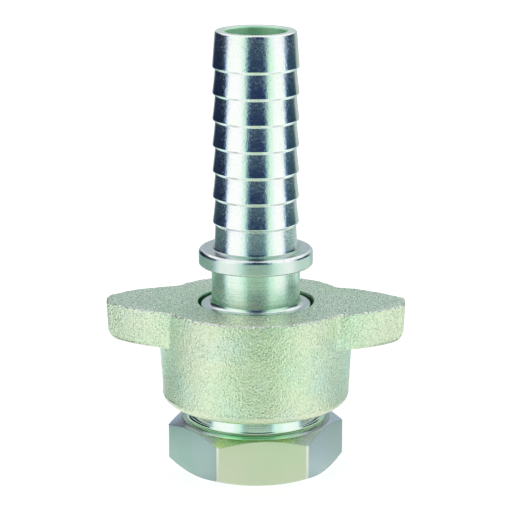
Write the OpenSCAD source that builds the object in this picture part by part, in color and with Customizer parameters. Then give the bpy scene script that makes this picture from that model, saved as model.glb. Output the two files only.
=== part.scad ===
// Ground-joint hose coupling: a barbed hose stem is held down on a soft seat
// in a threaded spud by a two-lug wing nut that is knocked tight with a hammer.
// Everything is stacked upwards from the foot of the spud's hexagon at z = 0.
// Lengths are millimetres, angles are degrees.

/* [Hose tail] */
// Bore of the whole stem
bore_d = 14.8; // [10:0.1:16]
// Diameter over the barbs' crests
crest_d = 21.1; // [20.2:0.1:24]
// Diameter in the valley under each crest
root_d = 19.7; // [18.6:0.1:20]
// Number of barbs
barb_count = 7; // [3:1:10]
// Height from one crest to the next
barb_pitch = 6.37; // [4:0.01:9]
// Height of the step under each crest
barb_step = 0.45; // [0.3:0.05:1.5]
// Rounding of each crest
crest_round = 0.5; // [0.1:0.05:0.7]
// Height of the last barb above its crest
tip_h = 8.7; // [5:0.1:14]
// Rounding of the outer edge of the mouth
tip_round = 0.5; // [0.3:0.1:1.2]
// Plain length between the collar and the lowest crest
tail_gap = 6.6; // [4:0.1:16]
// Diameter of the plain length where it meets the collar
tail_foot_d = 20.5; // [19.8:0.1:22]

/* [Collar and shank] */
// Diameter of the collar that stops the hose
collar_d = 28; // [26:0.1:29]
// Thickness of the collar
collar_h = 3.9; // [2:0.05:6]
// Rounding of the collar's upper edge
collar_round = 0.6; // [0.2:0.1:0.8]
// Diameter of the shank below the collar
shank_d = 21.7; // [20.6:0.1:22.4]
// Length of the shank between the head and the collar
shank_h = 10.1; // [7:0.05:20]
// Fillet at the foot of the shank
shank_fillet = 1.9; // [0.5:0.1:2.2]

/* [Head of the stem] */
// Diameter of the flange that the nut pulls down
head_d = 33; // [30.6:0.1:34]
// Thickness of that flange
head_h = 4.6; // [3:0.1:8]
// Diameter of the pilot that stands in the nut's hole
pilot_d = 27.2; // [26.4:0.1:27.8]
// Height of the pilot
pilot_h = 5.25; // [2:0.05:5.5]
// Diameter of the nose below the flange
nose_d = 26.8; // [24:0.1:27]
// Height of the nose
nose_h = 7.7; // [5.5:0.1:12]
// Rounding between the nose's cone and its side
nose_round = 2.5; // [0.5:0.1:3]

/* [Wing nut] */
// Height of the nut's body
nut_h = 25.25; // [22:0.05:27]
// Diameter of the body beside the wings
nut_d = 47.7; // [44:0.1:54]
// Diameter of the drafted body at its foot
nut_foot_d = 46; // [43:0.1:46.6]
// Rounding of the body's lower corner
nut_foot_round = 2.4; // [1:0.1:4]
// Thickness of the lip over the stem's flange
lip_h = 5.85; // [3:0.05:8]
// Rounding of the hole's upper edge
hole_round = 0.8; // [0.2:0.1:1.2]
// Span from wing tip to wing tip
wing_span = 73.7; // [66:0.1:90]
// Thickness of the wings
wing_h = 9.3; // [7:0.1:14]
// Width of a wing at its tip
wing_tip_w = 6.8; // [4.6:0.1:9]
// Angle of each wing's side to its middle line
wing_flare = 29.5; // [22:0.1:36]
// Rounding of a tip's upright corners
wing_tip_round = 3; // [0.5:0.1:3.2]
// Rounding of a tip's lower corner
wing_under_round = 3; // [0.5:0.1:4]
// Draft of the wing tips over their height
wing_draft = 0.35; // [0.05:0.05:0.8]
// Hollow fillet where a wing runs into the body
wing_fillet = 4; // [1:0.1:8]

/* [Spud] */
// Width across the hexagon's flats
hex_af = 38.1; // [37.5:0.1:42]
// Height of the hexagon with its washer face
hex_h = 12.35; // [8:0.05:15]
// Rounding of the hexagon's upright corners
hex_round = 1; // [0.2:0.1:2]
// Slope of the chamfer on the hexagon's corners
hex_chamfer = 27; // [15:1:30]
// Diameter of the raised washer face inside the chamfers
washer_d = 37; // [35:0.1:37.4]
// Height of the washer face above the chamfers
washer_h = 0.5; // [0.2:0.05:1]
// Diameter of the flat ring under the hexagon
foot_d = 36.9; // [33:0.1:37.4]
// Turn of the hexagon's corner from the wings' line
hex_turn = 7.5; // [0:0.5:60]
// Diameter of the plain neck above the hexagon
neck_d = 32.8; // [31.6:0.1:33.6]
// Height of the neck
neck_h = 4.65; // [2:0.05:8]
// Fillet at the foot of the neck
neck_fillet = 0.8; // [0.2:0.1:0.9]
// Outside diameter of the thread that takes the nut
union_d = 34.8; // [34.2:0.1:36]
// Bore of the pipe thread in the foot
pipe_bore_d = 24.2; // [20.4:0.1:26]
// Depth of the pipe thread
pipe_depth = 16; // [12:0.1:16.5]
// Chamfer at the mouth of the pipe thread
pipe_mouth = 1.4; // [0.5:0.1:2]
// Wall between the pipe thread and the seat
web_h = 4.5; // [3:0.1:6]

/* [Seat] */
// Diameter of the pocket that holds the seat ring
pocket_d = 27.8; // [27.4:0.1:28.6]
// Height of the seat ring
seat_h = 5.7; // [4.6:0.1:6]
// Bore of the seat ring
seat_bore_d = 19.2; // [18:0.1:20]
// Height of the ring's straight bore below its cone
seat_land = 3.05; // [1.5:0.05:4]

/* [Fits] */
// Radial clearance in the union thread
thread_clear = 0.1; // [0.05:0.01:0.15]
// Clearance between the nut's lip and the stem's flange
lip_gap = 0.1; // [0.05:0.01:0.3]
// Clearance between the nose and the seat ring
seat_gap = 0.15; // [0.05:0.01:0.3]
// Radial clearance of the seat ring in its pocket
ring_clear = 0.05; // [0.02:0.01:0.1]
// Radial clearance of the collar in the nut's hole
hole_clear = 0.25; // [0.15:0.05:0.5]
// Height between the spud's rim and the stem's flange
rim_gap = 0.5; // [0.3:0.1:1]

/* [Hidden] */
$fn = 96;
edge = 0.4;
sink = 0.1;
over = 1;
tip_over = 0.3;
root_share = 0.9;

bore_r = bore_d / 2;
crest_r = crest_d / 2;
root_r = root_d / 2;
collar_r = collar_d / 2;
shank_r = shank_d / 2;
head_r = head_d / 2;
pilot_r = pilot_d / 2;
nose_r = nose_d / 2;
seat_r = seat_bore_d / 2;
pocket_r = pocket_d / 2;
union_r = union_d / 2;
neck_r = neck_d / 2;
pipe_r = pipe_bore_d / 2;
washer_r = washer_d / 2;
nut_r = nut_d / 2;
hole_r = collar_r + hole_clear;
nut_bore_r = union_r + thread_clear;

pocket_z = pipe_depth + web_h;
nose_z = pocket_z + seat_land + seat_gap;
cone_z = nose_z + nose_r - seat_r;
head_z = nose_z + nose_h;
rim_z = head_z - rim_gap;
shoulder_z = head_z + head_h;
pilot_z = shoulder_z + pilot_h;
collar_z = pilot_z + shank_h;
tail_z = collar_z + collar_h;
crest_z = tail_z + tail_gap;
mouth_z = crest_z + (barb_count - 1) * barb_pitch + tip_h;
lip_z = shoulder_z + lip_gap;
nut_top_z = lip_z + lip_h;
nut_z = nut_top_z - nut_h;
wing_z = nut_top_z - wing_h;
wing_r = wing_span / 2;

function unit(v) = v / norm(v);
function wrap(a) = a > 180 ? a - 360 : (a < -180 ? a + 360 : a);

// Points of an arc about c, from angle a0 through the signed sweep
function arc(c, r, a0, sweep) =
    let (steps = max(2, ceil(abs(sweep) / 15)))
    [for (i = [0 : steps]) c + r * [cos(a0 + sweep * i / steps), sin(a0 + sweep * i / steps)]];

// One corner of an outline at v, between the points p and n, rounded to radius r
function corner(p, v, n, r) =
    let (a = unit(p - v))
    let (b = unit(n - v))
    let (half = acos(a * b) / 2)
    let (c = v + unit(a + b) * r / sin(half))
    let (s = v + a * r / tan(half) - c)
    let (e = v + b * r / tan(half) - c)
    let (a0 = atan2(s[1], s[0]))
    arc(c, r, a0, wrap(atan2(e[1], e[0]) - a0));

// A closed outline from corners [x, y] or [x, y, radius]
function rounded(pts) =
    let (last = len(pts) - 1)
    [for (i = [0 : last])
        let (v = pts[i])
        let (p = pts[i == 0 ? last : i - 1])
        let (n = pts[i == last ? 0 : i + 1])
        each len(v) < 3 ? [v] : corner([p[0], p[1]], [v[0], v[1]], [n[0], n[1]], v[2])];

// The barbs from the lowest crest up: a short step outwards, a rounded crest,
// and a long flank that narrows towards the mouth
function barbs() = [
    for (i = [0 : barb_count - 1])
        let (z = crest_z + i * barb_pitch)
        each [[root_r, z - barb_step], [crest_r, z, crest_round]]
];

// Barbed stem, turned from bar: nose, flange, pilot, shank, collar and tail round one bore
module stem() {
    color("lightsteelblue")
    rotate_extrude()
    polygon(rounded(concat(
        [
            [bore_r, nose_z],
            [seat_r, nose_z, edge],
            [nose_r, cone_z, nose_round],
            [nose_r, head_z],
            [head_r, head_z, edge],
            [head_r, shoulder_z, edge],
            [pilot_r, shoulder_z],
            [pilot_r, pilot_z, edge],
            [shank_r, pilot_z, shank_fillet],
            [shank_r, collar_z],
            [collar_r, collar_z, edge],
            [collar_r, tail_z, collar_round],
            [tail_foot_d / 2, tail_z, edge]
        ],
        barbs(),
        [
            [root_r, mouth_z, tip_round],
            [bore_r + edge, mouth_z],
            [bore_r, mouth_z - edge]
        ]
    )));
}

// Half of one wing's plan, from its root in the body to its tip. The side is a
// straight line, and its fillet touches both that line and the body's circle.
function wing_side() =
    let (tip = [wing_r + tip_over, wing_tip_w / 2])
    let (u = [-cos(wing_flare), sin(wing_flare)])
    let (n = [sin(wing_flare), cos(wing_flare)])
    let (q = tip + n * wing_fillet)
    let (reach = nut_r - sink + wing_fillet)
    let (along = -q * u - sqrt(pow(q * u, 2) - q * q + reach * reach))
    let (c = q + along * u)
    let (a0 = atan2(-c[1], -c[0]))
    let (a1 = atan2(-n[1], -n[0]))
    concat(
        [c * (1 - wing_fillet / reach) * root_share],
        arc(c, wing_fillet, a0, wrap(a1 - a0)),
        corner(c - n * wing_fillet, tip, [tip[0], 0], wing_tip_round)
    );

// One wing: its plan cut by the drafted, round-cornered sweep of the two tips
module wing() {
    side = wing_side();
    last = len(side) - 1;
    intersection() {
        translate([0, 0, wing_z - over])
        linear_extrude(wing_h + 2 * over)
        polygon(concat(side, [for (i = [0 : last]) [side[last - i][0], -side[last - i][1]]]));
        rotate_extrude()
        polygon(rounded([
            [bore_r, wing_z],
            [wing_r - wing_draft, wing_z, wing_under_round],
            [wing_r, nut_top_z, edge],
            [bore_r, nut_top_z]
        ]));
    }
}

// Forged wing nut: a drafted body with two wings, bored from below for its thread
// and from above for the stem's collar
module wing_nut() {
    color("darkseagreen")
    difference() {
        union() {
            rotate_extrude()
            polygon(rounded([
                [bore_r, nut_z],
                [nut_foot_d / 2, nut_z, nut_foot_round],
                [nut_r, wing_z],
                [nut_r, nut_top_z, edge],
                [bore_r, nut_top_z]
            ]));
            for (side = [0, 180]) rotate([0, 0, side]) wing();
        }
        rotate_extrude()
        polygon(rounded([
            [0, nut_z - over],
            [nut_bore_r + over + edge, nut_z - over],
            [nut_bore_r, nut_z + edge],
            [nut_bore_r, lip_z, edge],
            [hole_r, lip_z],
            [hole_r, nut_top_z - hole_round],
            [hole_r + hole_round + over, nut_top_z + over],
            [0, nut_top_z + over]
        ]));
    }
}

// Spud: chamfered hexagon with a washer face, neck and union thread, with the pipe
// thread's bore from below, the waterway, and the seat's pocket from above
module spud() {
    hex_r = hex_af / 2 / cos(30);
    out_r = hex_r + over;
    drop = (out_r - washer_r) * tan(hex_chamfer);
    rise = (out_r - foot_d / 2) * tan(hex_chamfer);
    color("palegreen")
    difference() {
        union() {
            intersection() {
                rotate([0, 0, hex_turn])
                linear_extrude(hex_h)
                polygon(rounded([
                    for (a = [0 : 60 : 300]) [hex_r * cos(a), hex_r * sin(a), hex_round]
                ]));
                rotate_extrude()
                polygon(rounded([
                    [0, 0],
                    [foot_d / 2, 0],
                    [out_r, rise],
                    [out_r, hex_h - washer_h - drop],
                    [washer_r, hex_h - washer_h],
                    [washer_r, hex_h, washer_h / 2],
                    [0, hex_h]
                ]));
            }
            rotate_extrude()
            polygon(rounded([
                [0, hex_h - over],
                [neck_r + neck_fillet, hex_h - over],
                [neck_r + neck_fillet, hex_h],
                [neck_r, hex_h, neck_fillet],
                [neck_r, hex_h + neck_h],
                [union_r, hex_h + neck_h + union_r - neck_r],
                [union_r, rim_z - edge],
                [union_r - edge, rim_z],
                [0, rim_z]
            ]));
        }
        rotate_extrude()
        polygon([
            [0, -over],
            [pipe_r + pipe_mouth + over, -over],
            [pipe_r, pipe_mouth],
            [pipe_r, pipe_depth],
            [seat_r, pipe_depth],
            [seat_r, pocket_z],
            [pocket_r, pocket_z],
            [pocket_r, rim_z - edge],
            [pocket_r + edge + over, rim_z + over],
            [0, rim_z + over]
        ]);
    }
}

// Seat ring pressed into the spud's pocket, with a 45 degree cone under the nose
module seat_ring() {
    ring_r = pocket_r - ring_clear;
    color("ivory")
    rotate_extrude()
    polygon(rounded([
        [seat_r, pocket_z],
        [ring_r, pocket_z],
        [ring_r, pocket_z + seat_h, edge],
        [seat_r + seat_h - seat_land, pocket_z + seat_h],
        [seat_r, pocket_z + seat_land]
    ]));
}

spud();
seat_ring();
stem();
wing_nut();
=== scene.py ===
import math

import bpy
import numpy as np
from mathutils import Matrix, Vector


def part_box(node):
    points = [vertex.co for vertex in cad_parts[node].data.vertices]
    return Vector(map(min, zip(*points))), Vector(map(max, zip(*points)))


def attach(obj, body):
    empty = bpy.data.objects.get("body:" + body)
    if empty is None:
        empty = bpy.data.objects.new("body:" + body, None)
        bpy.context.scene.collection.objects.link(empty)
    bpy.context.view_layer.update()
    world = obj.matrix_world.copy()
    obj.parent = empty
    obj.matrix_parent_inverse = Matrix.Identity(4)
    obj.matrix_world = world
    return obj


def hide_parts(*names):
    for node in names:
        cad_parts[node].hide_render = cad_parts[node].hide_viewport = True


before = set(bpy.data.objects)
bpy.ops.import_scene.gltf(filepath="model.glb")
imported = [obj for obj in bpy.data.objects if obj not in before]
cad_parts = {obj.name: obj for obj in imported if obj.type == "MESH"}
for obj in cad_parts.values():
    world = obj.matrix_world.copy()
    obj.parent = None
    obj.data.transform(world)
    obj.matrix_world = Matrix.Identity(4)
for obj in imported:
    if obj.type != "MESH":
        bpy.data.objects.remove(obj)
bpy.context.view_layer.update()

# The spud is one machined steel piece: a hexagon for the spanner, a turned neck, the
# coarse union thread that takes the nut, and a tapered pipe thread up its foot. It is
# zinc plated all over and carries the seat ring in the pocket at its top.
MM = 0.001
SPUD_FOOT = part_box("spud")[0][2] / MM
SPUD_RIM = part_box("spud")[1][2] / MM
HEX_HALF_FLATS = 19.05
HEX_TOP = SPUD_FOOT + 12.35
HEX_TURN = math.radians(7.5)
HEX_CHAMFER_SLOPE = math.tan(math.radians(27))
HEX_CORNER_ROUND = 1.0
WASHER_R = 18.5
WASHER_STEP = 0.5
HEX_FOOT_R = 18.45
NECK_R = 16.4
NECK_TOP = HEX_TOP + 4.25
NECK_FILLET = 0.8
UNION_R = 17.4
UNION_PITCH = 2.1167
THREAD_DEPTH = 1.0
POCKET_R = 13.9
POCKET_FLOOR = 20.5
WATERWAY_R = 9.6
PIPE_R = 12.1
PIPE_TOP = 16.0
PIPE_MOUTH = 1.4
PIPE_PITCH = 1.814
PIPE_DEPTH = 0.9
UNION_ROWS = 92
PIPE_ROWS = 76


def corner_row(columns, corner):
    """One corner (radius, height) as an array of 2 by columns, each of them a number or an array."""
    return np.stack([np.broadcast_to(part, columns).astype(float) for part in corner[:2]])


def turned_rows(columns, corners, closed=False):
    """Rows of a turned outline. A corner is (radius, height, rounding, steps), and each may
    change from column to column. A rounded corner is the arc that touches both of its sides:
    its centre lies at rounding / sin(half angle) from the corner along the bisector. Every
    arc gets a neighbouring row on each side, so that the shading of the flats stays flat."""
    places = [corner_row(columns, corner) for corner in corners]
    rows = []
    for index, corner in enumerate(corners):
        here = places[index]
        ends = not closed and index in (0, len(corners) - 1)
        if len(corner) < 3 or ends:
            rows.append(here)
            continue
        back = places[index - 1] - here
        ahead = places[(index + 1) % len(corners)] - here
        back_length = np.linalg.norm(back, axis=0)
        ahead_length = np.linalg.norm(ahead, axis=0)
        back = back / back_length
        ahead = ahead / ahead_length
        half = np.arccos(np.clip((back * ahead).sum(axis=0), -0.9999, 0.9999)) / 2
        reach = np.minimum(corner[2] / np.tan(half), 0.45 * np.minimum(back_length, ahead_length))
        radius = reach * np.tan(half)
        middle = back + ahead
        centre = here + middle / np.linalg.norm(middle, axis=0) * radius / np.sin(half)
        start = here + back * reach - centre
        end = here + ahead * reach - centre
        sweep = math.pi - 2 * half
        margin = np.minimum(0.12, 0.1 * np.minimum(back_length, ahead_length))
        rows.append(here + back * (reach + margin))
        steps = corner[3] if len(corner) > 3 else 4
        for step in range(steps + 1):
            share = step / steps
            turn = (np.sin((1 - share) * sweep) * start + np.sin(share * sweep) * end) / np.sin(sweep)
            rows.append(centre + turn)
        rows.append(here + ahead * (reach + margin))
    return np.stack(rows, axis=1)


def outline_reach(points, angles):
    """Distance from the axis to a closed star-shaped outline in each direction: the polar
    form of the outline's points, read off by interpolation on their angle."""
    bearing = np.arctan2(points[:, 1], points[:, 0])
    distance = np.hypot(points[:, 0], points[:, 1])
    order = np.argsort(bearing)
    return np.interp(angles, bearing[order], distance[order], period=2 * math.pi)


def outline_points(corners, per_side=60):
    """Points along a plan outline from corners (x, y, rounding, steps). A straight side is cut
    into even steps, each at start + (end - start) share."""
    flat = turned_rows(1, corners, closed=True)[:, :, 0].T
    ahead = np.roll(flat, -1, axis=0)
    share = np.linspace(0, 1, per_side, endpoint=False)[:, None, None]
    return (flat + (ahead - flat) * share).transpose(1, 0, 2).reshape(-1, 2)


def thread_tooth(turns, crest, flank):
    """Height of a thread form, 0 at the root and 1 at the crest, against the number of
    turns: a crest of the given share of the pitch with a straight flank on each side."""
    away = np.abs((turns + 0.5) % 1 - 0.5)
    return np.clip((crest / 2 + flank - away) / flank, 0, 1)


def ring_mesh(name, angles, shells):
    """A mesh of closed rings. Each shell is an array of (radius, height) by rows by columns:
    the rows run round the section and the columns run round the axis, and both close on
    themselves. A point is (radius cos angle, radius sin angle, height)."""
    places = []
    faces = []
    start = 0
    for directions, shell in zip(angles, shells):
        radius, height = shell * MM
        rows, columns = radius.shape
        spread = [radius * np.cos(directions), radius * np.sin(directions), height]
        places.append(np.stack(spread, axis=-1).reshape(-1, 3))
        index = np.arange(rows * columns).reshape(rows, columns) + start
        right = np.roll(index, -1, axis=1)
        above = np.roll(index, -1, axis=0)
        faces.append(np.stack([index, right, np.roll(right, -1, axis=0), above], axis=-1).reshape(-1, 4))
        start += rows * columns
    mesh = bpy.data.meshes.new(name)
    mesh.from_pydata(np.concatenate(places).tolist(), [], np.concatenate(faces).tolist())
    mesh.shade_smooth()
    piece = bpy.data.objects.new(name, mesh)
    bpy.context.scene.collection.objects.link(piece)
    return piece


def shader_node(tree, kind, inputs=None, **settings):
    """Adds a node. Its settings are given by name, and its inputs by name or number, each as
    a value or as the socket that feeds it."""
    new = tree.nodes.new(kind)
    for key, value in settings.items():
        setattr(new, key, value)
    for key, value in (inputs or {}).items():
        if isinstance(value, bpy.types.NodeSocket):
            tree.links.new(value, new.inputs[key])
        else:
            new.inputs[key].default_value = value
    return new


def shade_ramp(tree, factor, stops):
    """A colour ramp from (place, colour) stops, with colours as linear red, green and blue."""
    ramp = shader_node(tree, "ShaderNodeValToRGB", {"Fac": factor})
    while len(ramp.color_ramp.elements) < len(stops):
        ramp.color_ramp.elements.new(0.5)
    for element, (place, colour) in zip(ramp.color_ramp.elements, stops):
        element.position = place
        element.color = (*colour, 1)
    return ramp.outputs["Color"]


def shade_math(tree, operation, *values):
    """The result of one operation on up to three values, each a number or a socket."""
    return shader_node(tree, "ShaderNodeMath", dict(enumerate(values)), operation=operation).outputs[0]


def shade_range(tree, value, low, high, start, end):
    """A straight line from start, where the value is low, to end, where it is high."""
    return shader_node(tree, "ShaderNodeMapRange", {
        "Value": value, "From Min": low, "From Max": high, "To Min": start, "To Max": end,
    }).outputs[0]


def shade_noise(tree, place, scale, detail=2.0, roughness=0.5):
    """Noise between 0 and 1, with the given number of cells to the metre."""
    return shader_node(tree, "ShaderNodeTexNoise", {
        "Vector": place, "Scale": scale, "Detail": detail, "Roughness": roughness,
    }).outputs["Fac"]


def shade_relief(tree, height, strength, depth, normal=None):
    """The normal of a face that stands up by depth in metres where the height is 1."""
    inputs = {"Strength": strength, "Distance": depth, "Height": height}
    if normal is not None:
        inputs["Normal"] = normal
    return shader_node(tree, "ShaderNodeBump", inputs).outputs["Normal"]


MARKS_PER_METRE = 4200.0
MARKS_WANDER = 1.5
MARKS_TINT = 0.2
MARKS_DEPTH = 0.03 * MM
SKIN_SCALE = 2200.0
SKIN_DEPTH = 0.05 * MM


def plating(name, film, patch, rough, cut, grain, side_shade=0.0):
    """Zinc plating on a machined face. Slow noise wanders through the film's colours, which
    also move towards the ramp's last colours for each metre away from x = 0, by the given
    rate: painted light and shade on the sides, which turn away from the camera. Lines at
    constant height are the tool's marks, and fine noise is the skin of the plating: both carry
    the bump. The roughness follows the same fine noise."""
    material = bpy.data.materials.new(name)
    material.use_nodes = True
    tree = material.node_tree
    surface = tree.nodes["Principled BSDF"]
    place = shader_node(tree, "ShaderNodeTexCoord").outputs["Object"]
    parts = shader_node(tree, "ShaderNodeSeparateXYZ", {0: place}).outputs
    drift = shade_noise(tree, place, patch, 4.0)
    level = shade_math(tree, "MULTIPLY", parts["Z"], MARKS_PER_METRE)
    along = shade_math(tree, "MULTIPLY_ADD", drift, MARKS_WANDER, level)
    marks = shader_node(
        tree, "ShaderNodeTexNoise", {"W": along, "Scale": 1.0, "Detail": 3.0},
        noise_dimensions="1D").outputs["Fac"]
    skin = shade_noise(tree, place, SKIN_SCALE)
    # Away from x = 0 the film moves along its ramp: painted light and shade on the sides, which turn
    # away from the camera.
    aside = shade_math(tree, "ABSOLUTE", parts["X"])
    drift_and_side_shade = shade_math(tree, "MULTIPLY_ADD", aside, side_shade, drift)
    mixed = shade_math(tree, "MULTIPLY_ADD", marks, MARKS_TINT, drift_and_side_shade)
    tree.links.new(shade_ramp(tree, mixed, film), surface.inputs["Base Color"])
    polish = shade_range(tree, skin, 0.3, 0.7, *rough)
    tree.links.new(polish, surface.inputs["Roughness"])
    lines = shade_relief(tree, marks, cut, MARKS_DEPTH)
    relief = shade_relief(tree, skin, grain, SKIN_DEPTH, lines)
    tree.links.new(relief, surface.inputs["Normal"])
    surface.inputs["Metallic"].default_value = 1.0
    return material


def finish_zones(piece, materials, zone_of):
    """Gives the piece its materials, and each face the one whose number zone_of returns for
    the face's centre, from its radius, height, x and y in mm."""
    for material in materials:
        piece.data.materials.append(material)
    centres = np.empty(len(piece.data.polygons) * 3)
    piece.data.polygons.foreach_get("center", centres)
    x, y, z = centres.reshape(-1, 3).T / MM
    piece.data.polygons.foreach_set("material_index", zone_of(np.hypot(x, y), z, x, y).astype(np.int32))


hex_reach = HEX_HALF_FLATS / math.cos(math.radians(30))
hex_bearings = HEX_TURN + np.radians(np.arange(6) * 60.0)
hex_corners = [
    (hex_reach * math.cos(bearing), hex_reach * math.sin(bearing), HEX_CORNER_ROUND, 6)
    for bearing in hex_bearings]
near_corner = np.radians([-2.2, -1.8, -1.4, -1.0, -0.7, -0.4, 0.0, 0.4, 0.7, 1.0, 1.4, 1.8, 2.2])
spud_angles = np.concatenate([
    np.radians(np.arange(0, 360, 1.2)),
    (hex_bearings[:, None] + near_corner).ravel() % (2 * math.pi),
])
spud_angles = np.unique(spud_angles.round(5))
spud_columns = len(spud_angles)
hex_r = outline_reach(outline_points(hex_corners), spud_angles)
drop = (hex_r - WASHER_R) * HEX_CHAMFER_SLOPE
rise = (hex_r - HEX_FOOT_R) * HEX_CHAMFER_SLOPE

# The rows run up the outside, up the union thread, down the pocket and the waterway, and
# down the pipe thread. The union thread runs out at the neck and is chamfered at its top.
spud_outside = turned_rows(spud_columns, [
    (PIPE_R + PIPE_MOUTH, SPUD_FOOT),
    (HEX_FOOT_R, SPUD_FOOT, 0.25, 3),
    (hex_r, SPUD_FOOT + rise, 0.1, 2),
    (hex_r, HEX_TOP - WASHER_STEP - drop, 0.1, 2),
    (WASHER_R, HEX_TOP - WASHER_STEP, 0.15, 3),
    (WASHER_R, HEX_TOP, 0.2, 5),
    (NECK_R, HEX_TOP, NECK_FILLET, 6),
    (NECK_R, NECK_TOP - 0.3),
    (NECK_R, NECK_TOP),
])
union_height = np.linspace(NECK_TOP + 0.15, SPUD_RIM - 0.5, UNION_ROWS)[:, None]
union_turns = union_height / UNION_PITCH - spud_angles / (2 * math.pi)
union_fade = np.clip((union_height - NECK_TOP) / 1.2, 0, 1)
union_r = UNION_R - THREAD_DEPTH + THREAD_DEPTH * thread_tooth(union_turns, 0.2, 0.28) * union_fade
union_r = np.minimum(union_r, UNION_R - 0.6 + (SPUD_RIM - union_height))
spud_thread = np.stack([union_r, np.broadcast_to(union_height, union_r.shape)])
spud_inside = turned_rows(spud_columns, [
    (UNION_R - 1.1, SPUD_RIM),
    (POCKET_R + 0.4, SPUD_RIM, 0.2, 2),
    (POCKET_R, SPUD_RIM - 0.4, 0.2, 2),
    (POCKET_R, POCKET_FLOOR, 0.2, 2),
    (WATERWAY_R, POCKET_FLOOR, 0.2, 2),
    (WATERWAY_R, PIPE_TOP, 0.3, 3),
    (PIPE_R + PIPE_DEPTH, PIPE_TOP, 0.3, 3),
    (PIPE_R + PIPE_DEPTH, PIPE_TOP - 1.0),
])
pipe_height = np.linspace(PIPE_TOP - 1.2, SPUD_FOOT + 0.1, PIPE_ROWS)[:, None]
pipe_turns = pipe_height / PIPE_PITCH - spud_angles / (2 * math.pi)
pipe_r = PIPE_R + PIPE_DEPTH * (1 - thread_tooth(pipe_turns, 0.2, 0.3))
pipe_r = np.maximum(pipe_r, PIPE_R + PIPE_MOUTH - pipe_height)
spud_pipe = np.stack([pipe_r, np.broadcast_to(pipe_height, pipe_r.shape)])

spud = ring_mesh("spud_machined", [spud_angles], [
    np.concatenate([spud_outside, spud_thread, spud_inside, spud_pipe], axis=1)
])
spud_turned = plating(
    "spud_turned",
    [(0.45, (0.76, 0.93, 0.78)), (0.6, (0.86, 0.98, 0.91)), (0.75, (0.88, 0.98, 0.95))],
    patch=90.0, rough=(0.1, 0.17), cut=0.3, grain=0.1)
# The two flats that face along y get a light film and the other four a dark one: painted light and shade
# on copies of one finish.
spud_flats_lit = plating(
    "spud_flats_lit",
    [(0.5, (0.84, 0.93, 0.67)), (0.7, (0.77, 0.92, 0.63))],
    patch=45.0, rough=(0.36, 0.46), cut=0.15, grain=0.5)
spud_side_flats_shaded = plating(
    "spud_side_flats_shaded",
    [(0.45, (0.36, 0.55, 0.48)), (0.6, (0.42, 0.58, 0.54)), (0.75, (0.44, 0.58, 0.60))],
    patch=45.0, rough=(0.36, 0.46), cut=0.15, grain=0.5)
# The washer face's film turns grey-lavender towards its sides: painted light and shade.
spud_faced = plating(
    "spud_faced",
    [(0.55, (0.34, 0.80, 0.42)), (0.8, (0.36, 0.80, 0.46)), (0.9, (0.38, 0.56, 0.48)),
     (0.97, (0.46, 0.50, 0.52))],
    patch=90.0, rough=(0.14, 0.22), cut=0.2, grain=0.1, side_shade=28.0)
# The chamfers' bright yellow-green film is a painted reflection of the nut's lit underside, and it turns
# lavender towards the sides as painted shade.
spud_chamfers_painted_reflection = plating(
    "spud_chamfers_painted_reflection",
    [(0.55, (0.72, 1.0, 0.54)), (0.84, (0.92, 1.0, 0.56)), (0.93, (0.66, 0.86, 0.62)),
     (0.99, (0.62, 0.66, 0.76))],
    patch=90.0, rough=(0.25, 0.28), cut=0.1, grain=0.04, side_shade=28.0)
# The hexagon's rounded corners get a lighter film than the side flats: a painted highlight.
spud_corner_highlight = plating(
    "spud_corner_highlight",
    [(0.45, (0.80, 0.86, 0.72)), (0.75, (0.84, 0.89, 0.78))],
    patch=90.0, rough=(0.28, 0.34), cut=0.2, grain=0.05)
spud_bored = plating(
    "spud_bored",
    [(0.45, (0.50, 0.72, 0.52)), (0.75, (0.66, 0.80, 0.66))],
    patch=120.0, rough=(0.25, 0.4), cut=0.4, grain=0.4)
spud_finishes = [
    spud_turned, spud_flats_lit, spud_bored, spud_side_flats_shaded, spud_faced, spud_chamfers_painted_reflection, spud_corner_highlight]


def spud_zone(radius, height, x, y):
    """The hexagon's flats are where the farthest of the six face normals reaches half the width
    across flats: zone 1 on the two that face along y, and zone 3 on the other four, whose light
    and dark films are painted light and shade on one finish. Bores and threads are zone 2, the
    washer face and its rim 4, the chamfers over the flats 5, painted bright as a reflection,
    the hexagon's rounded corners 6, lighter as a painted highlight, and the other turned faces 0."""
    washer_foot = HEX_TOP - WASHER_STEP
    normals = hex_bearings + math.radians(30)
    reach = x[:, None] * np.cos(normals) + y[:, None] * np.sin(normals)
    # Flats facing along y take the light film and the others the dark one: painted light and shade.
    flat = (reach.max(axis=1) > HEX_HALF_FLATS - 0.02) & (height < HEX_TOP)
    along = np.abs(np.sin(normals))[reach.argmax(axis=1)] > 0.9
    bored = (radius < POCKET_R + 0.3) | (height > NECK_TOP + 0.3)
    slope = height + (radius - WASHER_R) * HEX_CHAMFER_SLOPE - washer_foot
    chamfer = (np.abs(slope) < 0.03) & (radius > WASHER_R)
    upright = (height > SPUD_FOOT + rise.min()) & (height < washer_foot)
    corner = (radius > HEX_HALF_FLATS + 2) & upright
    faced = (radius > NECK_R + NECK_FILLET) & (height > washer_foot) & (height < HEX_TOP + 0.02)
    return np.select([flat & along, flat, bored, chamfer, corner, faced], [1, 3, 2, 5, 6, 4], 0)


finish_zones(spud, spud_finishes, spud_zone)
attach(spud, "base")
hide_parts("spud")

# The seat ring is a moulded off-white polymer ring, pressed into the spud's pocket. The
# stem's nose seals on its cone.
SEAT_R = POCKET_R - 0.05
SEAT_TOP = POCKET_FLOOR + 5.7
SEAT_LAND = POCKET_FLOOR + 3.05

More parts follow.
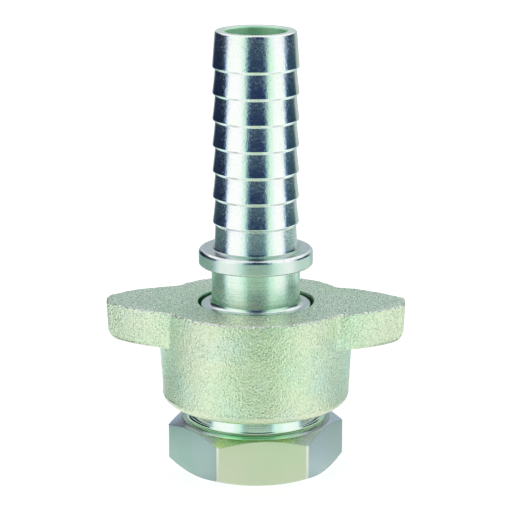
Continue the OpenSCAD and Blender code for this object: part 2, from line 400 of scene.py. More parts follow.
seat_angles = np.linspace(0, 2 * math.pi, 144, endpoint=False)
seat_ring = ring_mesh("seat_ring_moulded", [seat_angles], [turned_rows(len(seat_angles), [
    (WATERWAY_R, POCKET_FLOOR, 0.15, 3),
    (SEAT_R, POCKET_FLOOR, 0.3, 3),
    (SEAT_R, SEAT_TOP, 0.4, 4),
    (WATERWAY_R + SEAT_TOP - SEAT_LAND, SEAT_TOP, 0.25, 3),
    (WATERWAY_R, SEAT_LAND, 0.25, 3),
], closed=True)])
seat_finish = bpy.data.materials.new("seat_polymer")
seat_finish.use_nodes = True
seat_tree = seat_finish.node_tree
seat_surface = seat_tree.nodes["Principled BSDF"]
seat_place = shader_node(seat_tree, "ShaderNodeTexCoord").outputs["Object"]
seat_cloud = shade_noise(seat_tree, seat_place, 350.0, 4.0)
seat_shades = [(0.35, (0.68, 0.64, 0.54)), (0.65, (0.80, 0.77, 0.68))]
seat_colour = shade_ramp(seat_tree, seat_cloud, seat_shades)
seat_tree.links.new(seat_colour, seat_surface.inputs["Base Color"])
seat_grain = shade_noise(seat_tree, seat_place, 2500.0)
seat_relief = shade_relief(seat_tree, seat_grain, 0.3, 0.03 * MM)
seat_tree.links.new(seat_relief, seat_surface.inputs["Normal"])
seat_surface.inputs["Roughness"].default_value = 0.45
seat_ring.data.materials.append(seat_finish)
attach(seat_ring, "base")
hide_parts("seat_ring")

# The stem is turned from one steel bar and zinc plated bright. From below: the nose that
# seals on the seat, the flange that the nut's lip pulls down, the pilot in the nut's
# hole, the shank, the collar that stops the hose, and seven barbs up to the mouth.
STEM_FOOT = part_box("stem")[0][2] / MM
STEM_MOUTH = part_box("stem")[1][2] / MM
STEM_BORE_R = 7.4
NOSE_R = 13.4
NOSE_CONE_TOP = STEM_FOOT + NOSE_R - WATERWAY_R
FLANGE_R = 16.5
FLANGE_FOOT = STEM_FOOT + 7.7
FLANGE_TOP = FLANGE_FOOT + 4.6
PILOT_R = 13.6
PILOT_TOP = FLANGE_TOP + 5.25
SHANK_R = 10.85
COLLAR_R = 14.0
COLLAR_ROUND = 0.85
COLLAR_FOOT = PILOT_TOP + 10.1
COLLAR_TOP = COLLAR_FOOT + 3.9
TAIL_FOOT_R = 10.25
CREST_R = 10.55
VALLEY_R = 9.85
BARB_PITCH = 6.37
BARB_STEP = 0.45
BARB_HOLLOW = 0.05
HOLLOW_ROUND = 80.0
BARBS = 7
LOWEST_CREST = COLLAR_TOP + 6.6

stem_corners = [
    (STEM_BORE_R, STEM_FOOT, 0.3, 3),
    (WATERWAY_R, STEM_FOOT, 0.4, 4),
    (NOSE_R, NOSE_CONE_TOP, 2.5, 8),
    (NOSE_R, FLANGE_FOOT, 0.3, 3),
    (FLANGE_R, FLANGE_FOOT, 0.4, 4),
    (FLANGE_R, FLANGE_TOP, 0.4, 4),
    (PILOT_R, FLANGE_TOP, 0.3, 3),
    (PILOT_R, PILOT_TOP, 0.4, 4),
    (SHANK_R, PILOT_TOP, 1.9, 14),
    (SHANK_R, COLLAR_FOOT, 0.3, 3),
    (COLLAR_R, COLLAR_FOOT, 0.4, 5),
    (COLLAR_R, COLLAR_TOP, COLLAR_ROUND, 12),
    (TAIL_FOOT_R, COLLAR_TOP, 0.6, 6),
]
# A barb is a short step out from its valley to its crest, and a flank that narrows upwards
# to the next valley. The flanks and the plain length below them are a little hollow.
foot_middle = (TAIL_FOOT_R + VALLEY_R) / 2 - BARB_HOLLOW
flank_middle = (CREST_R + VALLEY_R) / 2 - BARB_HOLLOW
stem_corners.append((foot_middle, (COLLAR_TOP + LOWEST_CREST) / 2, HOLLOW_ROUND, 8))
for barb in range(BARBS):
    crest = LOWEST_CREST + barb * BARB_PITCH
    stem_corners.append((VALLEY_R, crest - BARB_STEP, 0.25, 3))
    stem_corners.append((CREST_R, crest, 0.5, 6))
    if barb < BARBS - 1:
        flank_height = crest + (BARB_PITCH - BARB_STEP) / 2
        stem_corners.append((flank_middle, flank_height, HOLLOW_ROUND, 8))
stem_corners += [
    (VALLEY_R, STEM_MOUTH, 0.5, 6),
    (STEM_BORE_R + 0.4, STEM_MOUTH, 0.2, 3),
    (STEM_BORE_R, STEM_MOUTH - 0.4, 0.2, 3),
]
stem_angles = np.linspace(0, 2 * math.pi, 288, endpoint=False)
stem_rows = turned_rows(len(stem_angles), stem_corners, closed=True)
stem = ring_mesh("stem_turned", [stem_angles], [stem_rows])
stem_tail = plating(
    "stem_tail",
    [(0.45, (0.92, 1.0, 0.93)), (0.6, (0.98, 1.0, 0.98)), (0.75, (0.97, 0.98, 1.0))],
    patch=110.0, rough=(0.08, 0.15), cut=0.12, grain=0.4)
# The shank's film turns dark green towards its sides: painted shade on the sides, which turn away from
# the camera.
stem_shank = plating(
    "stem_shank",
    [(0.5, (0.80, 1.0, 0.84)), (0.72, (0.87, 1.0, 0.89)), (0.79, (0.80, 1.0, 0.87)),
     (0.98, (0.48, 0.80, 0.60))],
    patch=80.0, rough=(0.2, 0.28), cut=1.0, grain=0.04, side_shade=25.0)
stem_bored = plating(
    "stem_bored",
    [(0.45, (0.50, 0.84, 0.58)), (0.75, (0.66, 0.96, 0.74))],
    patch=120.0, rough=(0.5, 0.65), cut=0.5, grain=0.5)
stem_collar = plating(
    "stem_collar",
    [(0.45, (0.74, 0.88, 0.76)), (0.6, (0.80, 0.90, 0.84)), (0.75, (0.82, 0.92, 0.90))],
    patch=80.0, rough=(0.26, 0.34), cut=0.5, grain=0.3)
# The flat tops' film turns grey-lavender towards their sides: painted light and shade.
stem_faced = plating(
    "stem_faced",
    [(0.6, (0.32, 0.52, 0.43)), (0.74, (0.42, 0.60, 0.52)), (0.85, (0.60, 0.66, 0.71)),
     (0.97, (0.57, 0.61, 0.66))],
    patch=80.0, rough=(0.26, 0.34), cut=0.3, grain=0.2, side_shade=28.0)
stem_edge = plating(
    "stem_edge",
    [(0.45, (0.76, 0.84, 0.80)), (0.75, (0.95, 0.97, 1.0))],
    patch=300.0, rough=(0.16, 0.26), cut=0.1, grain=0.8)

# The tail gets smoother from each valley down to the crest below it, its plain length is
# duller, and its skin is mottled and a little wavy, which frays the mirrored bands.
BARB_DULL = 0.1
PLAIN_DULL = 0.03
MOTTLE_DULL = 0.095
MOTTLE_SCALE = 1500.0
WAVE_SCALE = 1300.0
WAVE_DEPTH = 0.018 * MM

tail_tree = stem_tail.node_tree
tail_surface = tail_tree.nodes["Principled BSDF"]
tail_place = shader_node(tail_tree, "ShaderNodeTexCoord").outputs["Object"]
tail_height = shader_node(tail_tree, "ShaderNodeSeparateXYZ", {0: tail_place}).outputs["Z"]
tail_top = (LOWEST_CREST + BARBS * BARB_PITCH - 0.05) * MM
tail_level = shade_math(tail_tree, "MINIMUM", tail_height, tail_top)
tail_turns = shade_math(
    tail_tree, "MULTIPLY_ADD", tail_level, 1 / (BARB_PITCH * MM), -LOWEST_CREST / BARB_PITCH)
tail_share = shade_math(tail_tree, "FRACT", tail_turns)
tail_polish = tail_surface.inputs["Roughness"].links[0].from_socket
tail_faded = shade_math(tail_tree, "MULTIPLY_ADD", tail_share, BARB_DULL, tail_polish)
tail_spots = shade_noise(tail_tree, tail_place, MOTTLE_SCALE, 3.0, 0.6)
tail_mottle = shade_range(tail_tree, tail_spots, 0.45, 0.65, 0.0, MOTTLE_DULL)
tail_plain = shade_math(tail_tree, "LESS_THAN", tail_height, (LOWEST_CREST - 0.2) * MM)
tail_dull = shade_math(tail_tree, "MULTIPLY_ADD", tail_plain, PLAIN_DULL, tail_mottle)
tail_rough = shade_math(tail_tree, "ADD", tail_faded, tail_dull)
tail_tree.links.new(tail_rough, tail_surface.inputs["Roughness"])
tail_waves = shade_noise(tail_tree, tail_place, WAVE_SCALE)
tail_relief = tail_surface.inputs["Normal"].links[0].from_socket
tail_uneven = shade_relief(tail_tree, tail_waves, 1.0, WAVE_DEPTH, tail_relief)
tail_tree.links.new(tail_uneven, tail_surface.inputs["Normal"])


def stem_zone(radius, height, x, y):
    """The bore is zone 2, the flat tops of the collar and the pilot are zone 4, the collar's
    rounded upper edge and the lower part of the pilot's fillet are zone 5, the rest of the
    collar is zone 3, the rest below the collar is zone 1, and the tail is 0."""
    bored = radius < STEM_BORE_R + 0.35
    collar = (radius > TAIL_FOOT_R + 0.7) & (height > COLLAR_FOOT - 0.1)
    collar_flat = (height > COLLAR_TOP - 0.01) & (height < COLLAR_TOP + 0.27)
    pilot_flat = (height > PILOT_TOP - 0.002) & (height < PILOT_TOP + 0.054)
    fillet = (height > PILOT_TOP) & (height < PILOT_TOP + 0.5)
    edge = collar & (height > COLLAR_TOP - COLLAR_ROUND) & (radius > COLLAR_R - COLLAR_ROUND)
    below = height < COLLAR_FOOT - 0.1
    zones = [bored, collar_flat | pilot_flat, edge | fillet, collar, below]
    return np.select(zones, [2, 4, 5, 3, 1], 0)


stem_finishes = [stem_tail, stem_shank, stem_bored, stem_collar, stem_faced, stem_edge]
finish_zones(stem, stem_finishes, stem_zone)
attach(stem, "stem")
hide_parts("stem")

# The wing nut is a steel forging: a drafted round body with two tapering wings, trimmed
# flat on top, shot-blasted to a fine pitted skin and zinc plated. It is bored and
# threaded from below, and its lip bears on the stem's flange.
NUT_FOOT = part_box("wing_nut")[0][2] / MM
NUT_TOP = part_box("wing_nut")[1][2] / MM
NUT_R = 23.85
NUT_FOOT_R = 23.0
NUT_FOOT_ROUND = 2.4
NUT_BORE_R = UNION_R + 0.1
HOLE_R = 14.25
HOLE_EDGE = 0.3
LIP_FOOT = NUT_TOP - 5.85
WING_REACH = 36.85
WING_FOOT = NUT_TOP - 9.3
WING_TIP_HALF = 3.4
WING_TIP_ROUND = 3.0
WING_FLARE = math.radians(29.5)
WING_FILLET = 4.0
WING_DRAFT = 0.035
WING_ROOT_ROUND = 1.2
WING_UNDER_ROUND = 1.2
TIP_UNDER_ROUND = 3.0
BEVEL = 0.3
BEVEL_SWAY = 0.12
NUT_STEPS = 512
THREAD_STEPS = 160
THREAD_ROWS = 88
# Size in mm, depth in mm and seed of the forging's bulges, its dents and its blasted grain,
# and how far the skin lies inside the forging's outline on average.
UNEVENNESS = [(9.0, 0.03, 3), (2.2, 0.008, 5), (1.0, 0.01, 8)]
UNEVEN_INSET = 0.06
LUMP_WAVES = 40


def wing_plan():
    """The nut's plan from above. A wing's side is a straight line that leans in to the tip by
    the flare. The hollow fillet's centre lies at body radius + fillet radius from the axis
    and at the fillet's radius from that line, and its arc joins the line to the circle."""
    tip = np.array([WING_REACH, WING_TIP_HALF])
    inward = np.array([-math.cos(WING_FLARE), math.sin(WING_FLARE)])
    outward = np.array([math.sin(WING_FLARE), math.cos(WING_FLARE)])
    shifted = tip + outward * WING_FILLET
    reach = NUT_R + WING_FILLET
    across = shifted @ inward
    centre = shifted + inward * (-across - math.sqrt(across ** 2 - shifted @ shifted + reach ** 2))
    start = math.atan2(-outward[1], -outward[0])
    end = math.atan2(-centre[1], -centre[0])
    bend = np.linspace(start, end, 14)
    fillet = centre + WING_FILLET * np.stack([np.cos(bend), np.sin(bend)], axis=1)
    body = np.linspace(math.atan2(fillet[-1, 1], fillet[-1, 0]), math.pi / 2, 60)[1:]
    circle = NUT_R * np.stack([np.cos(body), np.sin(body)], axis=1)
    tip_corners = [(WING_REACH, 0.0), (*tip, WING_TIP_ROUND, 10), tuple(fillet[0])]
    corner = turned_rows(1, tip_corners)[:, :, 0].T
    side = corner[-1] + (fillet[0] - corner[-1]) * np.linspace(0, 1, 60)[1:, None]
    quarter = np.concatenate([corner, side, fillet[1:], circle])
    half = np.concatenate([quarter, quarter[::-1] * (-1, 1)])
    return np.concatenate([half, half[::-1] * (1, -1)])


def forged_lumps(x, y, z, size, seed):
    """Smooth unevenness of about one unit, as the sum of plane waves with a wavelength near
    the given size in mm, in seeded random directions."""
    source = np.random.default_rng(seed)
    heading = source.normal(size=(LUMP_WAVES, 3))
    rate = 2 * math.pi / size * source.uniform(0.6, 1.4, LUMP_WAVES)
    heading *= (rate / np.linalg.norm(heading, axis=1))[:, None]
    phase = source.uniform(0, 2 * math.pi, LUMP_WAVES)
    total = np.zeros_like(x)
    for (kx, ky, kz), offset in zip(heading, phase):
        total += np.sin(kx * x + ky * y + kz * z + offset)
    return total / math.sqrt(LUMP_WAVES / 2)


# The columns of the nut's mesh are spread evenly along its plan, and each has a bearing.
plan = wing_plan()
lengths = np.concatenate([[0], np.cumsum(np.linalg.norm(np.diff(plan, axis=0), axis=1))])
even = np.linspace(0, lengths[-1], NUT_STEPS, endpoint=False)
even_points = np.stack([np.interp(even, lengths, part) for part in plan.T], axis=1)
nut_angles = np.sort(np.arctan2(even_points[:, 1], even_points[:, 0]))
rim_r = np.maximum(outline_reach(plan, nut_angles), NUT_R)
# The ledge is how far the plan stands out past the round body, and the roundings of the
# wings' undersides take less than half of it. Where there is no ledge, between the wings,
# a small spare height keeps their rows apart.
ledge = rim_r - NUT_R
room = 0.45 * ledge
at_tip = np.abs(np.sin(nut_angles)) < 0.09
under_round = np.minimum(np.where(at_tip, TIP_UNDER_ROUND, WING_UNDER_ROUND), room)
blended_round = np.convolve(np.tile(under_round, 3), np.ones(9) / 9, mode="same")
under_round = np.minimum(blended_round[NUT_STEPS:2 * NUT_STEPS], room)
root_round = np.minimum(WING_ROOT_ROUND, room)
spare = 0.05 * np.exp(-ledge / 0.4)
edge_x = rim_r * np.cos(nut_angles)
edge_y = rim_r * np.sin(nut_angles)


def quarter_arc(radius, height, size, first, last, steps):
    """Rows on an arc between two angles in degrees: (radius + size cos turn, height + size
    sin turn)."""
    turn = np.radians(np.linspace(first, last, steps))[:, None]
    return np.stack([radius + size * np.cos(turn), height + size * np.sin(turn)])


# The rows run up the outside: foot, wall, root of the wings, their underside and side, the
# bruised bevel, the trimmed top, and then down the hole and the bore.
nut_foot = turned_rows(NUT_STEPS, [
    (NUT_BORE_R, NUT_FOOT + 0.4),
    (NUT_BORE_R + 0.4, NUT_FOOT, 0.1, 2),
    (NUT_FOOT_R, NUT_FOOT, NUT_FOOT_ROUND, 12),
    (NUT_R, WING_FOOT - 1.5),
])
wall_share = np.linspace(0, 1, 34)[:-1, None]
wall_start = nut_foot[:, -2][:, None]
wall_end = np.array([NUT_R - 0.08, WING_FOOT - 1.4])[:, None, None]
nut_wall = wall_start + (wall_end - wall_start) * wall_share
nut_root = quarter_arc(NUT_R + root_round, WING_FOOT - root_round, root_round, 180, 90, 6)
nut_root[1] += spare * np.arange(-6, 0)[:, None]
inner_edge = NUT_R + root_round
outer_edge = rim_r - WING_DRAFT * (NUT_TOP - WING_FOOT) * np.clip(ledge / 3, 0, 1) - under_round
ledge_share = np.linspace(0, 1, 12)[1:-1, None]
nut_ledge = np.stack([
    inner_edge + (outer_edge - inner_edge) * ledge_share,
    WING_FOOT + spare * ledge_share * 4,
])
nut_under = quarter_arc(outer_edge, WING_FOOT + under_round, under_round, -90, 0, 9)
nut_under[1] += spare * np.arange(4, 13)[:, None]
side_low = nut_under[:, -1]
side_share = np.linspace(0, 1, 28)[1:, None]
sway = forged_lumps(edge_x, edge_y, 0 * edge_x, 1.6, 12)
bevel = np.clip(BEVEL + BEVEL_SWAY * sway, 0.1, 0.5)
side_high = np.stack([rim_r, NUT_TOP - bevel])
nut_side = side_low[:, None] + (side_high - side_low)[:, None] * side_share
nut_edge = np.stack([
    [rim_r - 0.06 * bevel, NUT_TOP - 0.94 * bevel],
    [rim_r - 0.94 * bevel, NUT_TOP - 0.06 * bevel],
]).transpose(1, 0, 2)
top_share = np.linspace(0, 1, 34)[:, None] ** 0.9
top_out = np.stack([rim_r - bevel, np.full(NUT_STEPS, NUT_TOP)])
top_in = np.stack([np.full(NUT_STEPS, HOLE_R + HOLE_EDGE + 0.1), np.full(NUT_STEPS, NUT_TOP)])
nut_top = top_out[:, None] + (top_in - top_out)[:, None] * top_share
nut_hole = turned_rows(NUT_STEPS, [
    (HOLE_R + HOLE_EDGE, NUT_TOP, 0.1, 2),
    (HOLE_R, NUT_TOP - HOLE_EDGE, 0.2, 3),
    (HOLE_R, LIP_FOOT, 0.15, 2),
    (NUT_BORE_R, LIP_FOOT, 0.3, 3),
    (NUT_BORE_R, NUT_FOOT + 2.0),
])

# The forged skin between foot and hole is uneven: its sides inwards, its top downwards, and
# the top stays flat round the hole.
skin = np.concatenate([nut_wall, nut_root, nut_ledge, nut_under, nut_side, nut_edge, nut_top], axis=1)
skin_x = skin[0] * np.cos(nut_angles)
skin_y = skin[0] * np.sin(nut_angles)
lumps = [
    forged_lumps(skin_x, skin_y, skin[1], size, seed) * depth
    for size, depth, seed in UNEVENNESS]
inset = np.minimum(sum(lumps) - UNEVEN_INSET, 0)
on_side = np.clip((NUT_TOP - skin[1]) / BEVEL, 0, 1)
on_top = 1 - on_side
calm = np.clip((skin[0] - HOLE_R - 1.2) / 1.5, 0, 1)
skin[0] += inset * on_side * np.clip((skin[1] - NUT_FOOT) / 2, 0, 1)
skin[1] += inset * on_top * calm

# The nut's thread is a ring of its own, sunk into the bore's wall.
thread_angles = np.linspace(0, 2 * math.pi, THREAD_STEPS, endpoint=False)
thread_height = np.linspace(NUT_FOOT + 0.8, LIP_FOOT - 5.2, THREAD_ROWS)[:, None]
thread_turns = thread_height / UNION_PITCH - thread_angles / (2 * math.pi) + 0.5
thread_r = NUT_BORE_R - (THREAD_DEPTH - 0.05) * thread_tooth(thread_turns, 0.14, 0.28)
thread_end = np.minimum(thread_height - NUT_FOOT - 0.5, LIP_FOOT - 4.9 - thread_height)
thread_r = np.maximum(thread_r, NUT_BORE_R + 0.3 - thread_end)
thread_wall = np.stack([thread_r, np.broadcast_to(thread_height, thread_r.shape)])[:, ::-1]
thread_back = turned_rows(THREAD_STEPS, [
    (NUT_BORE_R + 0.5, NUT_FOOT + 0.7),
    (NUT_BORE_R + 0.5, LIP_FOOT - 5.1),
])
wing_nut = ring_mesh("wing_nut_forged", [nut_angles, thread_angles], [
    np.concatenate([nut_foot[:, :-2], skin, nut_hole], axis=1),
    np.concatenate([thread_back, thread_wall], axis=1),
])


DIMPLE_SCALE = 1900.0
PIT_SCALE = 2600.0


def blasted_plating(name, film, pitted, rough, depth):
    """Zinc plating on a shot-blasted forging. Two sizes of noise make the dimpled skin, the
    finer one also darkens its pits as painted shade where the bump sinks them, and slow noise
    turns the film's colour."""
    material = bpy.data.materials.new(name)
    material.use_nodes = True
    tree = material.node_tree
    surface = tree.nodes["Principled BSDF"]
    place = shader_node(tree, "ShaderNodeTexCoord").outputs["Object"]
    drift = shade_noise(tree, place, 55.0, 3.0)
    dimples = shade_noise(tree, place, DIMPLE_SCALE)
    pits = shade_noise(tree, place, PIT_SCALE, 1.0)
    # Painted shade in the pits: the film darkens where the finer noise sinks the bump.
    pit_painted_shade = shade_range(tree, pits, 0.34, 0.56, pitted, 1.05)
    dark = shader_node(
        tree, "ShaderNodeMix", {0: 1.0, 6: shade_ramp(tree, drift, film), 7: pit_painted_shade},
        data_type="RGBA", blend_type="MULTIPLY")
    tree.links.new(dark.outputs[2], surface.inputs["Base Color"])
    polish = shade_range(tree, dimples, 0.3, 0.7, rough[1], rough[0])
    tree.links.new(polish, surface.inputs["Roughness"])
    height = shade_math(tree, "MULTIPLY_ADD", pits, 0.5, dimples)
    relief = shade_relief(tree, height, 1.0, depth)
    tree.links.new(relief, surface.inputs["Normal"])
    surface.inputs["Metallic"].default_value = 1.0
    return material


def nut_zone(radius, height, x, y):
    """The hole, bore and thread are zone 2, the trimmed top face with the front of the hole's
    rounded edge is zone 1, whose film is painted lighter in front of the hole, the bruised bevel
    round it is zone 3, whose whiter film is a painted highlight, and the rest is 0."""
    hole = radius < HOLE_R + HOLE_EDGE
    bored = hole | ((radius < NUT_BORE_R + 0.6) & (height < LIP_FOOT + 0.1))
    # The front of the hole's edge takes the top's film, with its painted light in front of the hole.
    front_edge_painted_light = bored & (height > NUT_TOP - 0.6) & (y < -2)
    turn = np.arctan2(y, x)
    width = np.interp(turn, nut_angles, bevel, period=2 * math.pi)
    rim = np.interp(turn, nut_angles, rim_r, period=2 * math.pi)
    beveled = (height > NUT_TOP - 0.96 * width - 0.08) & (radius > rim - 0.98 * width - 0.08)
    top = front_edge_painted_light | (height > NUT_TOP - 0.22)
    return np.select([bored & ~front_edge_painted_light, beveled, top], [2, 3, 1], 0)


nut_skin = blasted_plating(
    "nut_skin",
    [(0.32, (0.76, 0.96, 0.78)), (0.46, (0.82, 0.98, 0.71)), (0.6, (0.88, 0.98, 0.71)),
     (0.75, (0.83, 0.98, 0.82))],
    pitted=0.86, rough=(0.25, 0.36), depth=0.00029)
nut_top_skin = blasted_plating(
    "nut_top",
    [(0.35, (0.67, 0.88, 0.68)), (0.65, (0.80, 0.93, 0.81))],
    pitted=0.46, rough=(0.18, 0.3), depth=0.0006)

# In front of the hole the top's film is greener and lighter: painted light on the front of the top and
# of the hole's rounded edge.
FRONT_PAINTED_LIGHT = (0.94, 1.0, 0.76, 1)
top_tree = nut_top_skin.node_tree
top_surface = top_tree.nodes["Principled BSDF"]
top_place = shader_node(top_tree, "ShaderNodeTexCoord").outputs["Object"]
top_front = (0, -(HOLE_R + NUT_R) / 2 * MM, NUT_TOP * MM)
top_away = shader_node(
    top_tree, "ShaderNodeVectorMath", {0: top_place, 1: top_front}, operation="DISTANCE")
front_light_share = shade_range(top_tree, top_away.outputs["Value"], 5 * MM, 15 * MM, 1.0, 0.0)
top_plain = top_surface.inputs["Base Color"].links[0].from_socket
top_film_with_front_light = shader_node(
    top_tree, "ShaderNodeMix", {0: front_light_share, 6: top_plain, 7: FRONT_PAINTED_LIGHT}, data_type="RGBA")
top_tree.links.new(top_film_with_front_light.outputs[2], top_surface.inputs["Base Color"])
# The bevel's whiter film is a painted highlight along the nut's top edge.
nut_edge_highlight = blasted_plating(
    "nut_edge",
    [(0.35, (0.90, 0.98, 0.88)), (0.65, (0.96, 1.0, 0.94))],
    pitted=0.5, rough=(0.25, 0.4), depth=0.0003)
nut_bored = plating(
    "nut_bored",
    [(0.45, (0.40, 0.62, 0.44)), (0.75, (0.56, 0.74, 0.58))],
    patch=120.0, rough=(0.25, 0.4), cut=0.4, grain=0.4)
finish_zones(wing_nut, [nut_skin, nut_top_skin, nut_bored, nut_edge_highlight], nut_zone)
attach(wing_nut, "nut")
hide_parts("wing_nut")

# The camera stands where the photo's perspective puts it, 0.52 m from the object's middle
# and looking down at it by 14.5 degrees, turned a little from the wings' line.
CAMERA_TURN = math.radians(2.4)
CAMERA_REACH = 0.5054
CAMERA_HEIGHT = 0.1835
CAMERA_PITCH = math.radians(14.47)
CAMERA_SHIFT = 0.0004
SENSOR_WIDTH = 36
PHOTO_WIDTH = 512
FOCAL_PIXELS = 2127

camera_data = bpy.data.cameras.new("camera")
camera_data.sensor_width = SENSOR_WIDTH
camera_data.lens = SENSOR_WIDTH * FOCAL_PIXELS / PHOTO_WIDTH
camera_data.shift_x = CAMERA_SHIFT
camera_data.clip_start = 0.01
camera = bpy.data.objects.new("camera", camera_data)
camera.location = (
    CAMERA_REACH * math.sin(CAMERA_TURN), -CAMERA_REACH * math.cos(CAMERA_TURN), CAMERA_HEIGHT)
camera.rotation_euler = (math.radians(90) - CAMERA_PITCH, 0, CAMERA_TURN)
bpy.context.scene.collection.objects.link(camera)
bpy.context.scene.camera = camera

# The studio is a white surround with dark flags standing in it, as bright metal is
# photographed. The gaps between the flags are the white bands down the stem. Toned cards
# on the table under the flags shade the upright faces, which look down on the table.
SURROUND_R = 1.1
CARD_RINGS = [0.053, 0.068, 0.08, 0.14, 0.17, 0.22, 0.28, 0.35, 0.5, SURROUND_R]
CARD_PARTS = [1, 1, 2, 2, 3, 3, 4, 4, 5, 5]
CARD_SQUEEZE = [0.83, 0.83, 1.0, 1.0, 1.0, 1.0, 1.0, 1.0, 1.0, 1.0]
DISC_RINGS = [0.0185, 0.034, 0.049]
CARD_HEIGHT = 0.3 * MM
FRINGE = np.array([1.6, 0.4, -1.0])
# Bearings from the camera's side in degrees, positive to the right, the width of the soft
# edges, the elevation where the flag ends, its own colour, and the colours of its card on
# the table in five rings from the object outwards. A flag's foot takes its card's colour,
# and its edges have a blue fringe: it is wider for red than for blue by the fringe.
FLAGS = [
    (-36, 47, 10, 60, (0.72, 0.93, 0.72), *[(0.72, 0.93, 0.80)] * 5),
    (-24, 30, 11, 84, (0.016, 0.03, 0.09),
     (0.17, 0.32, 0.22), (0.82, 1.0, 0.72), (0.18, 0.32, 0.27), (0.17, 0.28, 0.28), (0.07, 0.14, 0.16)),
    (-160, -85, 8, 36, (0.004, 0.01, 0.035),
     (0.0, 0.06, 0.03), (0.84, 0.98, 1.0), (0.24, 0.42, 0.32), (0.05, 0.1, 0.12), (0.012, 0.024, 0.06)),
    (86, 152, 9, 30, (0.01, 0.035, 0.08),
     (0.0, 0.07, 0.05), (0.96, 1.0, 1.0), (0.85, 1.0, 0.92), (0.24, 0.38, 0.36), (0.03, 0.08, 0.12)),
    (136, 202, 14, 30, (0.46, 0.56, 0.56),
     (0.46, 0.56, 0.56), (0.46, 0.56, 0.60), (0.46, 0.56, 0.56), (0.46, 0.56, 0.56), (0.46, 0.56, 0.56)),
]


def smooth_step(low, high, value):
    """0 below low, 1 above high, and 3 s^2 - 2 s^3 between them."""
    share = np.clip((value - low) / (high - low), 0, 1)
    return share * share * (3 - 2 * share)


def flag_tone(bearing, part, elevation=0.0):
    """Colour at each bearing: white, covered by one flag after the other with soft edges. The
    flag's own colour starts at its foot with the colour of the farthest card."""
    tone = np.ones((len(bearing), 3))
    for start, end, soft, top, *colours in FLAGS:
        turn = (bearing - (start + end) / 2 + 180) % 360 - 180
        turn = np.abs(turn)[:, None]
        half = (end - start) / 2 + FRINGE
        cover = 1 - smooth_step(half - soft / 2, half + soft / 2, turn)
        cover = cover * (1 - smooth_step(top - 8, top, elevation))
        colour = np.array(colours[part])
        if part == 0:
            colour = colour + (np.array(colours[5]) - colour) * (1 - smooth_step(-2, 4, elevation))
        tone = tone + cover * (colour - tone)
    return tone


def toned_sheet(name, radius, height, tones):
    """A sheet swept round the axis through rows of (radius, height), at (radius cos bearing,
    radius sin bearing, height), with a glow of its own colour at every point. Only
    reflections see it."""
    columns = tones[0].shape[0]
    bearing = np.radians(np.linspace(-180, 180, columns)) + CAMERA_TURN - math.pi / 2
    places = [np.stack([r * np.cos(bearing), r * np.sin(bearing), np.full(columns, h)], axis=1)
              for r, h in zip(radius, height)]
    index = np.arange(len(radius) * columns).reshape(len(radius), columns)
    faces = np.stack([index[:-1, :-1], index[:-1, 1:], index[1:, 1:], index[1:, :-1]], axis=-1)
    mesh = bpy.data.meshes.new(name)
    mesh.from_pydata(np.concatenate(places).tolist(), [], faces.reshape(-1, 4).tolist())
    tone = mesh.color_attributes.new("tone", "FLOAT_COLOR", "POINT")
    glow = np.ones((len(radius) * columns, 4))
    glow[:, :3] = np.concatenate(tones)
    tone.data.foreach_set("color", glow.ravel())
    cloth = bpy.data.materials.new(name)
    cloth.use_nodes = True
    cloth.node_tree.nodes.clear()
    shade = shader_node(cloth.node_tree, "ShaderNodeAttribute", attribute_name="tone")
    light = shader_node(cloth.node_tree, "ShaderNodeEmission", {"Color": shade.outputs["Color"]})
    shader_node(cloth.node_tree, "ShaderNodeOutputMaterial", {"Surface": light.outputs[0]})
    mesh.materials.append(cloth)
    sheet = bpy.data.objects.new(name, mesh)
    sheet.visible_camera = False
    sheet.visible_diffuse = False
    sheet.visible_shadow = False
    bpy.context.scene.collection.objects.link(sheet)


bearings = np.linspace(-180, 180, 361)
elevations = np.concatenate([np.arange(0, 6), np.arange(8, 85, 4)])
toned_sheet(
    "flags", [SURROUND_R] * len(elevations), SURROUND_R * np.tan(np.radians(elevations)),
    [flag_tone(bearings, 0, elevation) for elevation in elevations])
card_tones = [
    flag_tone(bearings / squeeze, part) for squeeze, part in zip(CARD_SQUEEZE, CARD_PARTS)]
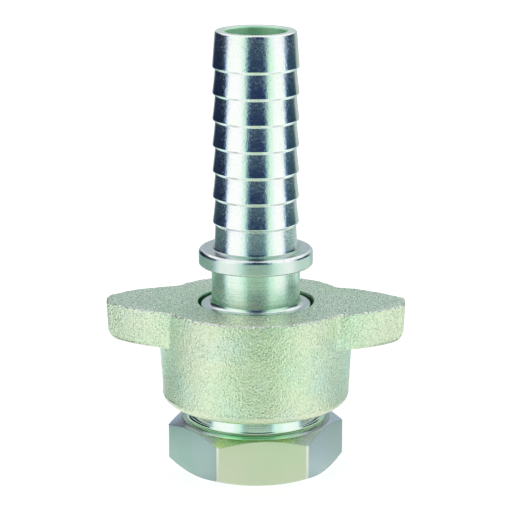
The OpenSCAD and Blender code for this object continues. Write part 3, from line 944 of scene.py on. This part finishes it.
# Inside the cards lies a white disc, a little grey in front of the foot and to its right.
grey_right = 0.22 * smooth_step(60, 110, bearings)
grey_front = 0.26 * (1 - smooth_step(30, 70, np.abs(bearings)))
disc_tones = [np.tile((1 - grey_right - grey)[:, None], 3) for grey in (grey_front, grey_front, 0)]
card_heights = [CARD_HEIGHT] * len(DISC_RINGS + CARD_RINGS)
toned_sheet("cards", DISC_RINGS + CARD_RINGS, card_heights, disc_tones + card_tones)

# The table is white paper, which looks lighter to the camera and in the metal than the
# light on it alone would make it. The surround looks white too, and lights less than that.
FLOOR_HALF = 4
PAPER_LIFT = 0.6
SURROUND_LIGHT = 0.7

floor_corners = [(FLOOR_HALF * x, FLOOR_HALF * y, 0) for x, y in ((-1, -1), (1, -1), (1, 1), (-1, 1))]
floor_mesh = bpy.data.meshes.new("floor")
floor_mesh.from_pydata(floor_corners, [], [(0, 1, 2, 3)])
floor = bpy.data.objects.new("floor", floor_mesh)
bpy.context.scene.collection.objects.link(floor)
paper = bpy.data.materials.new("floor_paper")
paper.use_nodes = True
paper_tree = paper.node_tree
paper_surface = paper_tree.nodes["Principled BSDF"]
paper_surface.inputs["Base Color"].default_value = (0.7, 0.7, 0.7, 1)
paper_surface.inputs["Roughness"].default_value = 0.9
paper_view = shader_node(paper_tree, "ShaderNodeLightPath").outputs
paper_seen = shade_math(
    paper_tree, "MAXIMUM", paper_view["Is Camera Ray"], paper_view["Is Glossy Ray"])
paper_lift = shade_math(paper_tree, "MULTIPLY", paper_seen, PAPER_LIFT)
paper_surface.inputs["Emission Color"].default_value = (1, 1, 1, 1)
paper_tree.links.new(paper_lift, paper_surface.inputs["Emission Strength"])
floor_mesh.materials.append(paper)

world = bpy.data.worlds.new("studio")
bpy.context.scene.world = world
world.use_nodes = True
world_tree = world.node_tree
world_view = shader_node(world_tree, "ShaderNodeLightPath").outputs
world_seen = shade_math(
    world_tree, "MAXIMUM", world_view["Is Camera Ray"], world_view["Is Glossy Ray"])
seen_through = shade_math(
    world_tree, "MAXIMUM", world_seen, world_view["Is Transmission Ray"])
world_level = shade_range(world_tree, seen_through, 0.0, 1.0, SURROUND_LIGHT, 1.0)
sky = world_tree.nodes["Background"]
sky.inputs["Color"].default_value = (1, 1, 1, 1)
world_tree.links.new(world_level, sky.inputs["Strength"])

bpy.context.scene.view_settings.view_transform = "Standard"
